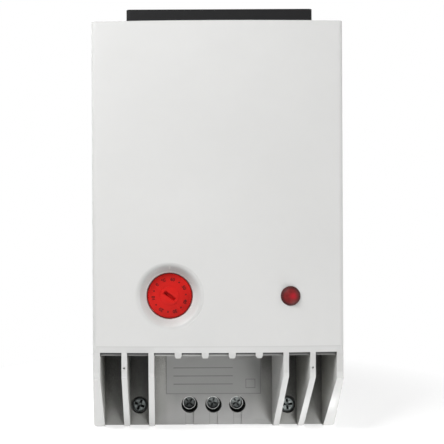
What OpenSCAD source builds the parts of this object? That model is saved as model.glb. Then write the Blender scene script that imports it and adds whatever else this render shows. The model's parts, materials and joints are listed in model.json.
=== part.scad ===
// Enclosure fan heater for a control cabinet.
// A moulded cover and rear shell hold a finned heating stack, a thermostat and a terminal block.
// An axial fan stands in the top and a spring clip on the back holds a 35 mm rail.
// Millimetres. X runs to the right, Y to the back and Z up. Depths count back from the front face.

/* [Housing] */
// Width of the front face
front_w = 96.4; // [95:0.2:98]
// How far each side of the cover widens from the front face to the parting plane
side_flare = 2.1; // [1:0.1:2.6]
// How far each side of the rear shell narrows from the parting plane to the back
back_taper = 1.4; // [0.4:0.1:1.6]
// Height of the top edge of the front face
front_h = 161.6; // [158:0.2:163]
// How far the top of the cover rises from the front face to the parting plane
top_rise = 1.8; // [0.6:0.1:2.2]
// Depth of the housing from the front face to the back face
housing_d = 121; // [121:0.5:126]
// How far the convex front face falls away at its side edges
crown = 1.8; // [1:0.1:2.4]
// Rounding of the upright edges of the front face
edge_r = 2.2; // [1.5:0.1:2.6]
// Rounding of the upright edges at the back
back_r = 3; // [2:0.5:4]
// Wall thickness of both mouldings
wall = 2.5; // [2.2:0.1:2.8]
// Rounding of the long lower edges of both mouldings
foot_r = 1.5; // [0.8:0.1:2]

/* [Ribbed recess] */
// Depth of the recess wall behind the front face
recess_d = 29.7; // [28:0.1:31]
// Thickness of the recess wall
recess_wall = 2.3; // [2:0.1:2.6]
// Height of the lower edge of the front face
lip_z = 35; // [34:0.1:37]
// Height of the bevel along the lower edge of the front face
lip_bevel_h = 2.5; // [1.5:0.1:3]
// Depth of that bevel
lip_bevel = 0.6; // [0.3:0.1:0.9]
// How far the inner step of the lower edge hangs below it
lip_step = 1.2; // [0.8:0.1:1.6]
// Height at which the rib fronts turn from upright to slanted
kink_z = 27.1; // [25:0.1:28.5]
// Height of the rib fronts above the recess wall at the foot
rib_foot = 2.4; // [1.6:0.1:3.2]
// Thickness of the recess side walls at the front face
recess_side = 2.835; // [2.6:0.005:3.4]
// Thickness of a rib at its front
rib_t = 2.06; // [1.8:0.02:2.3]
// Thickness of a rib at the recess wall
rib_t_back = 2.5; // [2.3:0.02:2.8]
// Height of the ends of the four short ribs
stub_z = 32.9; // [32:0.1:33.6]
// Thickness of the four short ribs, which narrow towards their ends
stub_t = 2.7; // [2.4:0.1:3]
// Height to which ribs and recess wall run up behind the front face
rib_top = 41; // [40.2:0.1:42]

/* [Dial and lamp] */
// Distance of the dial to the left of the middle
dial_left = 18.57; // [17.5:0.01:19.5]
// Height of the dial and of the lamp
control_z = 56.6; // [56:0.1:60]
// Diameter of the dial
dial_d = 17.14; // [16:0.02:18]
// Diameter of the dished recess at the front face
dish_d = 24.26; // [23.6:0.02:25]
// Depth of the dished recess
dish_depth = 3; // [2.5:0.1:3.4]
// How far the dial's face lies below the foot of the dish
dial_sink = 0.2; // [0.1:0.1:0.6]
// How far the middle of the dial stands above its face
dial_boss = 0.2; // [0.1:0.1:0.4]
// Length of the screwdriver slot in the dial
slot_l = 5.1; // [4.5:0.1:5.6]
// Width of the screwdriver slot
slot_w = 1.5; // [1.2:0.1:1.6]
// Angle of the slot below the horizontal
slot_tilt = 38; // [0:1:60]
// Diameter of the dial's shaft
dial_shaft_d = 6; // [5:0.5:7]
// Width of the thermostat
thermostat_w = 26; // [24:0.5:27]
// Height of the thermostat
thermostat_h = 24; // [22:0.5:25]
// Depth of the thermostat
thermostat_t = 21; // [18:0.5:22]
// Distance of the lamp to the right of the middle
lamp_right = 27.44; // [26.5:0.01:28.5]
// Diameter of the lamp lens
lamp_d = 7.46; // [7:0.02:8]
// How far the lens stands in front of the front face
lamp_proud = 1.2; // [0.8:0.1:1.6]
// Length of the lamp's body behind the cover
lamp_body_l = 15; // [12:0.5:18]

/* [Terminals] */
// Pitch of the three terminals
terminal_pitch = 10; // [9.8:0.1:10.4]
// Height of the terminal screws and of the cover screws
terminal_z = 8.37; // [8:0.01:9]
// Diameter of the terminal holes in the recess wall
terminal_hole_d = 6.87; // [6.5:0.01:7.1]
// Diameter of the terminal screw heads
terminal_head_d = 4.6; // [4.4:0.1:5.2]
// Diameter of the terminal screw threads
terminal_thread_d = 3; // [2.6:0.1:3.2]
// Depth of the terminal block
block_t = 21.6; // [20.6:0.2:23]
// Height of the terminal block
block_h = 19.5; // [18:0.5:21]
// Width of the label
label_w = 39.8; // [36:0.2:41]
// Height of the label's lower edge
label_z = 12.8; // [12.4:0.1:14]
// Diameter of the cover screw heads
cover_head_d = 5.9; // [5.6:0.1:6.2]
// Diameter of the cover screw threads
cover_thread_d = 3; // [2.6:0.1:3.2]

/* [Fan] */
// Side of the square fan frame
fan_size = 80; // [79:0.1:80]
// Height of the fan frame
fan_t = 38; // [36:0.5:40]
// Distance of the fan axis to the right of the middle
fan_right = 3.9; // [2:0.1:5]
// Height of the fan's top face
fan_top_z = 176.4; // [174:0.2:178]
// Rounding of the upright corners of the fan frame
fan_corner_r = 1.5; // [1:0.1:3]
// How far the fan screws reach into the fan frame
fan_screw_l = 3.5; // [3:0.1:6]
// Thickness of the fan frame between its bore and its sides
fan_rim = 2; // [1.8:0.1:2.5]
// Distance of the fan's fixing holes from its sides
fan_hole_inset = 4.25; // [4.1:0.05:4.5]
// Diameter of the fan's fixing holes
fan_hole_d = 4.3; // [4:0.1:4.5]
// Clearance between the blade tips and the fan bore
tip_gap = 0.8; // [0.8:0.1:1.5]
// Diameter of the impeller hub
hub_d = 36; // [34:0.5:38]
// Number of blades
blades = 7; // [5:1:9]
// Pitch of the blades against the fan plane
blade_tilt = 38; // [32:1:42]
// Diameter of the fan shaft
shaft_d = 3; // [2.6:0.1:3.4]

/* [Heating stack] */
// Room between the right end cap of the stack and the side wall
stack_side = 2.5; // [2.5:0.5:5]
// Height of the stack
stack_h = 34; // [28:1:36]
// Thickness of one fin pack
fin_pack_t = 14; // [12:0.5:15]
// Thickness of one fin
fin_t = 0.8; // [0.6:0.1:1]
// Number of fins in a pack
fins = 22; // [16:1:24]
// Thickness of one heating strip
strip_t = 4; // [3:0.5:5]
// Thickness of the end caps
cap_t = 5; // [4:0.5:5]
// Room between the stack and the deck that carries the fan
stack_gap = 9.4; // [6:0.1:12]

/* [Rail clip] */
// Width of the mounting rail
din_rail_w = 35; // [34.8:0.1:35.2]
// Room for the rail's edge behind the hooks
din_rail_gap = 1.6; // [1.4:0.1:1.8]
// Thickness of the clip
clip_t = 1.5; // [1.2:0.1:1.5]
// Width of the clip
clip_w = 40; // [30:1:50]
// Height of the middle of the clip
clip_z = 105; // [90:1:115]
// How far the clip's release tab stands out from the back
clip_stand = 5.8; // [5.4:0.1:6.4]

/* [Fits] */
// Radial clearance of turning shafts
running_gap = 0.05; // [0.03:0.01:0.08]
// Clearance between pieces that are placed next to each other
part_gap = 0.3; // [0.2:0.05:0.4]
// Diameter of the inner leads
lead_d = 2.2; // [1.6:0.1:2.4]

/* [Hidden] */
$fn = 64;
overall_d = lamp_proud + housing_d + clip_stand;
fy = -overall_d / 2 + lamp_proud;
cover_d = recess_d + recess_wall;
part_w = front_w + 2 * side_flare;
back_w = part_w - 2 * back_taper;
housing_h = front_h + top_rise;
flare_slant = atan(side_flare / cover_d);
back_slant = atan(back_taper / (housing_d - cover_d));
crown_r = (pow(front_w / 2, 2) + pow(crown, 2)) / (2 * crown);
recess_half = front_w / 2 - recess_side;
rib_pitch = (recess_half + rib_t / 2) / 4.5;
rib_foot_d = recess_d - rib_foot;
dial_x = -dial_left;
dial_r = dial_d / 2;
dial_face = dial_left * dial_left / (2 * crown_r);
dial_bore_r = dial_r + part_gap;
dish_foot_r = dial_bore_r + 0.1;
dial_front = dial_face + dish_depth + dial_sink;
dish_back = dial_face + dish_depth + 2.7;
thermostat_bore_r = dial_shaft_d / 2 + running_gap;
thermostat_back = dish_back + thermostat_t;
tab_x = thermostat_w / 2 - 5;
tab_l = 4;
lamp_face = lamp_right * lamp_right / (2 * crown_r);
lamp_pad = 4.5;
terminal_x = [-terminal_pitch, 0, terminal_pitch];
terminal_turn = [42, 18, -33];
cover_screw_x = 3 * rib_pitch;
head_floor = recess_d + 1.3;
collar_front = recess_d + 3.4;
block_front = cover_d + 2.4;
block_back = block_front + block_t;
block_top = wall + block_h;
block_half = 1.5 * terminal_pitch + 2;
block_step = 1.5;
clamp_front = block_front + 3.6;
clamp_back = clamp_front + 12;
clamp_floor = terminal_z - 4.5;
terminal_head_front = recess_d + 4.4;
fan_front = housing_d - wall - part_gap - 0.13 - fan_size;
fan_d = fan_front + fan_size / 2;
fan_y = fy + fan_d;
fan_bore_d = fan_size - 2 * fan_rim;
fan_hole_pitch = fan_size - 2 * fan_hole_inset;
impeller_d = fan_bore_d - 2 * tip_gap;
impeller_h = fan_t - 9;
motor_h = fan_t - 22;
bearing_l = fan_t - 18;
deck_z = fan_top_z - fan_t;
deck_t = 2.5;
shaft_bore_r = shaft_d / 2 + running_gap;
hub_r = hub_d / 2;
hub_top = fan_top_z - 5;
bearing_r = shaft_d / 2 + 2.5;
stack_t = 3 * fin_pack_t + 2 * strip_t;
stack_front = fan_d - stack_t / 2;
fin_l = part_w - 2 * (wall + back_taper + fan_right + cap_t + stack_side);
stack_left = fan_right - fin_l / 2;
stack_right = fan_right + fin_l / 2;
rail_z = deck_z - deck_t - stack_gap - stack_h - 4;
stack_mid_z = rail_z + 2 + stack_h / 2;
rail_t = 2.5;
cutout_front = stack_front - 6.5;
back_y = fy + housing_d;
clip_screw_pitch = 16;
lead_r = lead_d / 2;
lead_front = cutout_front - 4.57;
lead_rise = stack_front - 10;
lead_mid = block_front + 12.6;
lamp_lead = cover_d + 8;
fan_lead = fan_front - 3.07;
fan_lead_x = 2 * terminal_pitch;
tongue_z0 = control_z + 9.4;
tongue_z1 = deck_z - 18.4;

// Depth of the convex front face at a distance from the middle
function face_depth(x) = x * x / (2 * crown_r);

// Place a piece by its distance to the right, its depth and its height
module at(x, d, z) {
    translate([x, fy + d, z]) children();
}

// Round rod that runs back from depth d0 to depth d1
module rod(r, x, z, d0, d1) {
    at(x, d0, z) rotate([-90, 0, 0]) cylinder(r = r, h = d1 - d0);
}

// Cone that runs back from depth d0 to depth d1
module cone(r0, r1, x, z, d0, d1) {
    at(x, d0, z) rotate([-90, 0, 0]) cylinder(r1 = r0, r2 = r1, h = d1 - d0);
}

// Block between two limits in each direction
module block(x0, x1, d0, d1, z0, z1) {
    at(x0, d0, z0) cube([x1 - x0, d1 - d0, z1 - z0]);
}

// Solid with an outline of depths and heights, drawn across the middle
module across(points, w) {
    translate([-w / 2, fy, 0]) rotate([90, 0, 90]) linear_extrude(height = w) polygon(points);
}

// Upright solid with an outline of widths and depths
module upright(points, z0, z1) {
    translate([0, fy, z0]) linear_extrude(height = z1 - z0) polygon(points);
}

// Upright cylinder about the centre of curvature of the front face
module crowned(inset, z0, z1) {
    translate([0, fy + crown_r, z0]) cylinder(r = crown_r - inset, h = z1 - z0, $fn = 256);
}

// Cross recess for a screwdriver in a screw head, turned as the screw happens to stand
module cross_slot(x, z, d0, l, w, h, turn) {
    for (a = [turn, turn + 90])
        at(x, d0 - 1, z) rotate([0, a, 0]) translate([-l / 2, 0, -w / 2]) cube([l, h + 1, w]);
}

// Lead with round bends through a list of points
module lead(points) {
    for (i = [0 : len(points) - 2]) {
        run = points[i + 1] - points[i];
        len_run = norm(run);
        at(points[i][0], points[i][1], points[i][2])
            rotate([0, acos(run[2] / len_run), atan2(run[1], run[0])])
                cylinder(r = lead_r, h = len_run);
    }
    for (i = [1 : 1 : len(points) - 2]) {
        at(points[i][0], points[i][1], points[i][2]) sphere(r = lead_r);
    }
}

// Waste at one long lower edge, whose side wall turns by a slant from the parting plane
module foot_waste(side, slant, d0, d1) {
    translate([side * part_w / 2, fy + cover_d, 0]) rotate([0, 0, side * slant])
        translate([0, d1 - cover_d, 0]) rotate([90, 0, 0]) linear_extrude(height = d1 - d0)
            polygon(concat(
                [[-side * foot_r, -1], [side, -1], [side, foot_r]],
                [for (a = [0 : 22.5 : 90]) [side * foot_r * (cos(a) - 1), foot_r * (1 - sin(a))]]
            ));
}

// Room for the fan in the tops of both mouldings
module fan_room() {
    block(
        fan_right - fan_size / 2 - part_gap, fan_right + fan_size / 2 + part_gap,
        fan_front - part_gap, fan_front + fan_size + part_gap, deck_z, housing_h + 1
    );
}

// Outline of the cover seen from above, with its upright front edges rounded
function cover_outline() =
    let (cx = front_w / 2 - edge_r, cd = face_depth(cx) + edge_r - 0.02)
    concat(
        [[part_w / 2, cover_d]],
        [for (a = [0 : 15 : 90]) [cx + edge_r * cos(a), cd - edge_r * sin(a)]],
        [[cx, -2], [-cx, -2]],
        [for (a = [90 : 15 : 180]) [-cx + edge_r * cos(a), cd - edge_r * sin(a)]],
        [[-part_w / 2, cover_d]]
    );

// Outline of the cover seen from the side, with the slanted foot
function cover_profile() = [
    [cover_d, 0],
    [rib_foot_d, 0],
    [0, kink_z],
    [-2, kink_z],
    [-2, front_h - 2 * top_rise / cover_d],
    [cover_d, housing_h]
];

module cover_block() {
    intersection() {
        upright(cover_outline(), 0, housing_h + 1);
        across(cover_profile(), part_w + 10);
        crowned(0, -1, housing_h + 2);
    }
}

// Room inside the cover above the ribs
module cover_room() {
    intersection() {
        upright([
            [front_w / 2 - wall, 0],
            [-front_w / 2 + wall, 0],
            [-part_w / 2 + wall, cover_d + 1],
            [part_w / 2 - wall, cover_d + 1]
        ], rib_top, housing_h);
        across([
            [-2, rib_top],
            [cover_d + 1, rib_top],
            [cover_d + 1, housing_h - wall],
            [0, front_h - wall],
            [-2, front_h - wall]
        ], part_w);
        crowned(wall, rib_top - 1, housing_h);
    }
}

// Room between the side walls below the top of the ribs
module recess_room() {
    intersection() {
        block(-recess_half, recess_half, -2, recess_d, -1, rib_top + 0.01);
        crowned(wall, -1, rib_top + 1);
    }
    block(-recess_half, recess_half, -3, wall + crown + 1, -1, lip_z);
}

// One drafted rib of the grille
module rib(x) {
    upright([
        [x - rib_t / 2, -1],
        [x + rib_t / 2, -1],
        [x + rib_t_back / 2, recess_d + 1],
        [x - rib_t_back / 2, recess_d + 1]
    ], 0, rib_top);
}

// One short rib, narrowed towards its lower end
module stub_rib(x) {
    translate([x, fy + recess_d + 1, 0]) rotate([90, 0, 0]) linear_extrude(height = recess_d + 2) polygon([
        [-stub_t / 2, rib_top],
        [-stub_t / 2, stub_z + 1.1],
        [-stub_t / 2 + 0.45, stub_z],
        [stub_t / 2 - 0.45, stub_z],
        [stub_t / 2, stub_z + 1.1],
        [stub_t / 2, rib_top]
    ]);
}

module grille_ribs() {
    for (side = [-1, 1]) {
        for (i = [0, 1]) stub_rib(side * (i + 0.5) * rib_pitch);
        for (i = [2, 3]) rib(side * (i + 0.5) * rib_pitch);
    }
}

// Waste of the dished recess, which steepens towards the dial
module dish_waste() {
    out = dish_d / 2 - dish_foot_r;
    at(dial_x, dial_face, control_z) rotate([-90, 0, 0]) rotate_extrude() polygon([
        [0, -1],
        [dish_d / 2 + 1.6, -1],
        [dish_d / 2 + 0.6, -0.01],
        [dish_foot_r + 0.94 * out, 0.04 * dish_depth],
        [dish_foot_r + 0.76 * out, 0.15 * dish_depth],
        [dish_foot_r + 0.54 * out, 0.35 * dish_depth],
        [dish_foot_r + 0.28 * out, 0.65 * dish_depth],
        [dish_foot_r, dish_depth],
        [0, dish_depth]
    ]);
}

module front_cover() {
    color("gainsboro") difference() {
        union() {
            difference() {
                cover_block();
                cover_room();
                recess_room();
            }
            intersection() {
                cover_block();
                grille_ribs();
            }
            intersection() {
                block(-recess_half - 0.5, recess_half + 0.5, 0, wall + crown, lip_z - lip_step, lip_z + 1);
                difference() {
                    crowned(wall / 2, lip_z - 5, lip_z + 5);
                    crowned(wall, lip_z - 6, lip_z + 6);
                }
            }
            rod(dish_d / 2 + 1.4, dial_x, control_z, dial_face + 1.2, dish_back);
            rod(lamp_d / 2 + 2.6, lamp_right, control_z, lamp_face + 1.2, lamp_pad);
        }
        // setback of everything below the front face, and the bevel above it
        translate([0, fy + crown_r, 0]) rotate_extrude($fn = 256) polygon([
            [crown_r - lip_bevel, -1],
            [crown_r + 4, -1],
            [crown_r + 4, lip_z + lip_bevel_h],
            [crown_r, lip_z + lip_bevel_h],
            [crown_r - lip_bevel, lip_z]
        ]);
        dish_waste();
        rod(dial_bore_r, dial_x, control_z, 1, dish_back + 1);
        rod(lamp_d / 2 + running_gap, lamp_right, control_z, -2, lamp_pad + 1);
        for (x = terminal_x) {
            rod(terminal_hole_d / 2, x, terminal_z, recess_d - 1, cover_d + 1);
            block(x - 1.75, x + 1.75, recess_d - 1, recess_d + 0.25, -1, terminal_z - 1);
        }
        for (side = [-1, 1]) {
            rod(cover_head_d / 2 + 0.7, side * cover_screw_x, terminal_z, recess_d - 1, head_floor);
            rod(cover_thread_d / 2 + 0.2, side * cover_screw_x, terminal_z, recess_d, cover_d + 1);
            rod(0.4, side * 3.5 * rib_pitch, kink_z + 2, -1, 3);
            foot_waste(side, -flare_slant, rib_foot_d - 4, cover_d + 2);
        }
        fan_room();
    }
}

// Outline of the rear shell seen from above, drawn in from the outside by an inset
function shell_outline(inset) = concat(
    [[part_w / 2 - inset, cover_d]],
    [for (a = [0 : 15 : 90]) [
        back_w / 2 - back_r + (back_r - min(inset, back_r - 0.5)) * cos(a) - max(0, inset - back_r + 0.5),
        housing_d - back_r + (back_r - min(inset, back_r - 0.5)) * sin(a) - max(0, inset - back_r + 0.5)
    ]],
    [for (a = [90 : 15 : 180]) [
        -back_w / 2 + back_r + (back_r - min(inset, back_r - 0.5)) * cos(a) + max(0, inset - back_r + 0.5),
        housing_d - back_r + (back_r - min(inset, back_r - 0.5)) * sin(a) - max(0, inset - back_r + 0.5)
    ]],
    [[-part_w / 2 + inset, cover_d]]
);

// Half width of the room in the rear shell at a depth
function room_half(d) = part_w / 2 - wall - back_taper * (d - cover_d) / (housing_d - cover_d);

module rear_shell() {
    color("gainsboro") difference() {
        union() {
            difference() {
                upright(shell_outline(0), 0, housing_h);
                upright(shell_outline(wall), wall, deck_z - deck_t);
                upright(shell_outline(wall), deck_z, housing_h - wall);
            }
            // rails for the heating stack
            block(
                -room_half(fan_d) - 1, stack_left - 0.5,
                stack_front - 4, stack_front + stack_t + 4, rail_z - rail_t, rail_z
            );
            block(
                stack_right + 0.5, room_half(fan_d) + 1,
                stack_front - 4, stack_front + stack_t + 4, rail_z - rail_t, rail_z
            );
            // bosses for the cover screws
            for (side = [-1, 1]) {
                rod(3.6, side * cover_screw_x, terminal_z, cover_d, cover_d + 16);
                block(
                    side * cover_screw_x - 1.2, side * cover_screw_x + 1.2,
                    cover_d, cover_d + 16, wall - 1, terminal_z - 1
                );
            }
            // bosses for the clip screws
            for (side = [-1, 1])
                rod(3.6, 0, clip_z + side * clip_screw_pitch / 2, housing_d - wall - 6, housing_d - 1);
            // tongues that locate the cover
            for (side = [-1, 1]) {
                block(
                    side * (part_w / 2 - wall - 1.9) - 0.8, side * (part_w / 2 - wall - 1.9) + 0.8,
                    cover_d - 4, cover_d + 8, tongue_z0, tongue_z1
                );
                block(
                    side * (part_w / 2 - wall - 1) - 1.7, side * (part_w / 2 - wall - 1) + 1.7,
                    cover_d, cover_d + 8, tongue_z0, tongue_z1
                );
            }
        }
        fan_room();
        for (side = [-1, 1]) foot_waste(side, back_slant, cover_d - 2, housing_d + 2);
        translate([fan_right, fan_y, deck_z - deck_t - 1]) cylinder(d = fan_bore_d - 1, h = deck_t + 2);
        for (i = [-1, 1], j = [-1, 1])
            translate([
                fan_right + i * fan_hole_pitch / 2, fan_y + j * fan_hole_pitch / 2, deck_z - deck_t - 1
            ]) cylinder(d = fan_hole_d, h = deck_t + 2);
        // way for the fan lead through the deck
        at(fan_lead_x, fan_lead, deck_z - deck_t - 1) cylinder(r = lead_r + 0.4, h = deck_t + 2);
        // seat for the neck of the terminal block, where the conductors enter from below
        block(
            -block_half + block_step - part_gap, block_half - block_step + part_gap,
            block_front + block_step - part_gap, block_back - block_step + part_gap, -1, wall + 1
        );
        for (side = [-1, 1]) {
            rod(cover_thread_d / 2 + running_gap, side * cover_screw_x, terminal_z, cover_d - 1, cover_d + 14);
            rod(1.5 + running_gap, 0, clip_z + side * clip_screw_pitch / 2, housing_d - 8, housing_d + 1);
        }
        for (x = [stack_left - cap_t / 2, stack_right + cap_t / 2])
            at(x, fan_d, rail_z - rail_t - 1) cylinder(r = 1.7, h = rail_t + 2);
    }
}

// Outline of a square with rounded corners
function rounded_square(s, r) = [
    for (q = [0 : 3]) for (a = [0 : 22.5 : 90])
        (s / 2 - r) * [q == 0 || q == 3 ? 1 : -1, q < 2 ? 1 : -1] + r * [cos(90 * q + a), sin(90 * q + a)]
];

module fan_frame() {
    color("dimgray") {
        difference() {
            translate([fan_right, fan_y, deck_z]) linear_extrude(height = fan_t)
                polygon(rounded_square(fan_size, fan_corner_r));
            translate([fan_right, fan_y, deck_z - 1]) cylinder(d = fan_bore_d, h = fan_t + 2);
            for (i = [-1, 1], j = [-1, 1])
                translate([
                    fan_right + i * fan_hole_pitch / 2, fan_y + j * fan_hole_pitch / 2, deck_z - 1
                ]) cylinder(d = fan_hole_d, h = fan_t + 2);
        }
        // struts, guard rings and the bearing tube of the motor
        difference() {
            union() {
                for (i = [0 : 3])
                    translate([fan_right, fan_y, fan_top_z - 3]) rotate([0, 0, 45 + 90 * i])
                        translate([hub_r - 2, -1.5, 0]) cube([fan_bore_d / 2 + 2.6 - hub_r, 3, 3]);
                for (r = [hub_r + 6.4, hub_r + 13.2])
                    translate([fan_right, fan_y, fan_top_z - 2.4]) rotate_extrude() translate([r, 0]) square([1.6, 2.4]);
                translate([fan_right, fan_y, fan_top_z - 3]) cylinder(r = hub_r, h = 3);
                translate([fan_right, fan_y, fan_top_z - 2 - bearing_l]) cylinder(r = bearing_r, h = bearing_l);
            }
            translate([fan_right, fan_y, fan_top_z - 3 - bearing_l]) cylinder(r = shaft_bore_r, h = bearing_l);
        }
    }
}

module fan_motor() {
    color("goldenrod") translate([fan_right, fan_y, fan_top_z - 3 - motor_h]) difference() {
        cylinder(r = hub_r - 3.4, h = motor_h);
        translate([0, 0, -1]) cylinder(r = bearing_r, h = motor_h + 2);
    }
}

// One curved blade, cut from a shell whose axis points outwards
module blade() {
    intersection() {
        difference() {
            cylinder(d = impeller_d, h = impeller_h - 2);
            translate([0, 0, -1]) cylinder(r = hub_r - 0.5, h = impeller_h);
        }
        translate([0, 0, impeller_h / 2 - 1]) rotate([blade_tilt, 0, 0]) translate([0, 0, -50]) rotate([0, 90, 0])
            difference() {
                cylinder(r = 51, h = 60);
                translate([0, 0, -1]) cylinder(r = 49.4, h = 62);
                translate([-60, -60, -1]) cube([120, 44, 62]);
                translate([-60, 16, -1]) cube([120, 44, 62]);
                translate([0, -60, -1]) cube([60, 120, 62]);
            }
    }
}

module fan_impeller() {
    color("dimgray") translate([fan_right, fan_y, hub_top - impeller_h]) {
        difference() {
            cylinder(r = hub_r, h = impeller_h);
            translate([0, 0, 2.5]) cylinder(r = hub_r - 1.8, h = impeller_h);
        }
        cylinder(d = shaft_d, h = impeller_h - 3);
        for (i = [0 : blades - 1]) rotate([0, 0, 360 * i / blades]) blade();
    }
}

module fan_screws() {
    color("silver")
        for (i = [-1, 1], j = [-1, 1])
            translate([fan_right + i * fan_hole_pitch / 2, fan_y + j * fan_hole_pitch / 2, 0]) {
                translate([0, 0, deck_z - deck_t - 2]) cylinder(r = 3.4, h = 2);
                translate([0, 0, deck_z - deck_t - 1]) cylinder(d = fan_hole_d - 0.1, h = deck_t + 1 + fan_screw_l);
            }
}

module fin_pack(d0) {
    pitch = (fin_l - fin_t) / (fins - 1);
    block(stack_left, stack_right, d0, d0 + 1, rail_z + 2, rail_z + 2 + stack_h);
    block(stack_left, stack_right, d0 + fin_pack_t - 1, d0 + fin_pack_t, rail_z + 2, rail_z + 2 + stack_h);
    for (i = [0 : fins - 1])
        block(
            stack_left + i * pitch, stack_left + i * pitch + fin_t,
            d0 + 0.5, d0 + fin_pack_t - 0.5, rail_z + 2, rail_z + 2 + stack_h
        );
}

module fin_pack_front() {
    color("silver") fin_pack(stack_front);
}

module fin_pack_middle() {
    color("silver") fin_pack(stack_front + fin_pack_t + strip_t);
}

module fin_pack_rear() {
    color("silver") fin_pack(stack_front + 2 * (fin_pack_t + strip_t));
}

module ptc_strip(d0) {
    block(stack_left, stack_right, d0, d0 + strip_t, rail_z + 4, rail_z + stack_h);
}

module ptc_strip_front() {
    color("tan") ptc_strip(stack_front + fin_pack_t);
}

module ptc_strip_rear() {
    color("tan") ptc_strip(stack_front + 2 * fin_pack_t + strip_t);
}

module heater_end(x0) {
    difference() {
        block(x0, x0 + cap_t, stack_front - 2, stack_front + stack_t + 2, rail_z, rail_z + stack_h + 4);
        at(x0 + cap_t / 2, fan_d, rail_z - 1) cylinder(r = 1.5 + running_gap, h = 11);
    }
}

module heater_end_left() {
    color("ivory") heater_end(stack_left - cap_t);
}

module heater_end_right() {
    color("ivory") heater_end(stack_right);
}

module heater_screws() {
    color("silver")
        for (x = [stack_left - cap_t / 2, stack_right + cap_t / 2]) {
            at(x, fan_d, rail_z - rail_t - 1.8) cylinder(r = 2.4, h = 1.8);
            at(x, fan_d, rail_z - rail_t - 1) cylinder(r = 1.5, h = rail_t + 10);
        }
}

module thermal_cutout() {
    color("silver") {
        rod(8, fan_right, stack_mid_z, cutout_front + 3, stack_front);
        rod(7, fan_right, stack_mid_z, cutout_front, cutout_front + 4);
        for (side = [-1, 1])
            block(
                fan_right + side * 4 - 1.5, fan_right + side * 4 + 1.5,
                cutout_front - 3, cutout_front + 1, stack_mid_z - 0.4, stack_mid_z + 0.4
            );
    }
}

module thermostat_body() {
    color("whitesmoke") {
        difference() {
            block(
                dial_x - thermostat_w / 2, dial_x + thermostat_w / 2, dish_back, thermostat_back,
                control_z - thermostat_h / 2, control_z + thermostat_h / 2
            );
            rod(thermostat_bore_r, dial_x, control_z, dish_back - 1, dish_back + 8);
        }
        for (side = [-1, 1])
            block(
                dial_x + side * tab_x - 1.5, dial_x + side * tab_x + 1.5, thermostat_back - 1,
                thermostat_back + tab_l, control_z + side * 4 - 0.4, control_z + side * 4 + 0.4
            );
    }
}

module thermostat_dial() {
    color("crimson") difference() {
        union() {
            rod(dial_r, dial_x, control_z, dial_front, dish_back - part_gap);
            rod(3.6, dial_x, control_z, dial_front - dial_boss, dial_front + 1);
            rod(dial_shaft_d / 2, dial_x, control_z, dish_back - 1, dish_back + 7);
        }
        at(dial_x, dial_front - 1, control_z) rotate([0, slot_tilt, 0])
            translate([-slot_l / 2, 0, -slot_w / 2]) cube([slot_l, 2.1, slot_w]);
    }
}

module lamp_lens() {
    lens_r = lamp_d / 2;
    dome = lamp_face + lamp_proud - 0.1;
    ball = (lens_r * lens_r + dome * dome) / (2 * dome);
    color("darkred") intersection() {
        rod(lens_r, lamp_right, control_z, -lamp_proud - 1, lamp_pad);
        union() {
            at(lamp_right, -lamp_proud + ball, control_z) sphere(r = ball);
            rod(lens_r + 1, lamp_right, control_z, -lamp_proud + ball, lamp_pad + 1);
        }
    }
}

module lamp_body() {
    color("whitesmoke") {
        rod(lamp_d / 2 + 1.6, lamp_right, control_z, lamp_pad, lamp_pad + 3);
        rod(lamp_d / 2 + 0.4, lamp_right, control_z, lamp_pad, lamp_pad + lamp_body_l);
    }
}

module terminal_block() {
    color("whitesmoke") difference() {
        union() {
            block(-block_half, block_half, block_front, block_back, wall, block_top);
            block(
                -block_half + block_step, block_half - block_step,
                block_front + block_step, block_back - block_step, part_gap, wall + 1
            );
            for (x = terminal_x) rod(terminal_head_d / 2 + 0.5, x, terminal_z, collar_front, block_front + 1);
        }
        for (x = terminal_x) {
            rod(terminal_head_d / 2 + 0.15, x, terminal_z, collar_front - 1, terminal_head_front + 1.8);
            rod(terminal_thread_d / 2 + 0.2, x, terminal_z, collar_front, clamp_front + 1);
            block(x - 3.4, x + 3.4, clamp_front, block_back + 1, clamp_floor, clamp_floor + 9.2);
            at(x, clamp_front + 6, -1) cylinder(r = 2.1, h = wall + 3);
        }
    }
}

module terminal_clamps() {
    color("gold")
        for (x = terminal_x) difference() {
            block(x - 3.2, x + 3.2, clamp_front, clamp_back, clamp_floor, clamp_floor + 9);
            rod(terminal_thread_d / 2 + running_gap, x, terminal_z, clamp_front - 1, clamp_front + 6);
            at(x, clamp_front + 6, clamp_floor - 1) cylinder(r = 1.9, h = 8.5);
        }
}

module terminal_screws() {
    color("lightsteelblue")
        for (i = [0 : 2]) difference() {
            union() {
                rod(
                    terminal_head_d / 2, terminal_x[i], terminal_z,
                    terminal_head_front, terminal_head_front + 1.8
                );
                rod(terminal_thread_d / 2, terminal_x[i], terminal_z, terminal_head_front + 1, clamp_front + 3.9);
            }
            cross_slot(terminal_x[i], terminal_z, terminal_head_front, 3.8, 0.8, 1, terminal_turn[i]);
        }
}

module cover_screws() {
    color("lightsteelblue")
        for (side = [-1, 1]) difference() {
            union() {
                rod(cover_head_d / 2, side * cover_screw_x, terminal_z, recess_d + 0.2, head_floor);
                rod(cover_thread_d / 2, side * cover_screw_x, terminal_z, recess_d + 1, cover_d + 12);
            }
            cross_slot(side * cover_screw_x, terminal_z, recess_d + 0.2, 4.4, 1, 0.9, 10 - 14 * side);
        }
}

module rating_label() {
    color("white") block(-label_w / 2, label_w / 2, recess_d - 0.15, recess_d, label_z, stub_z - 0.9);
}

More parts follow.
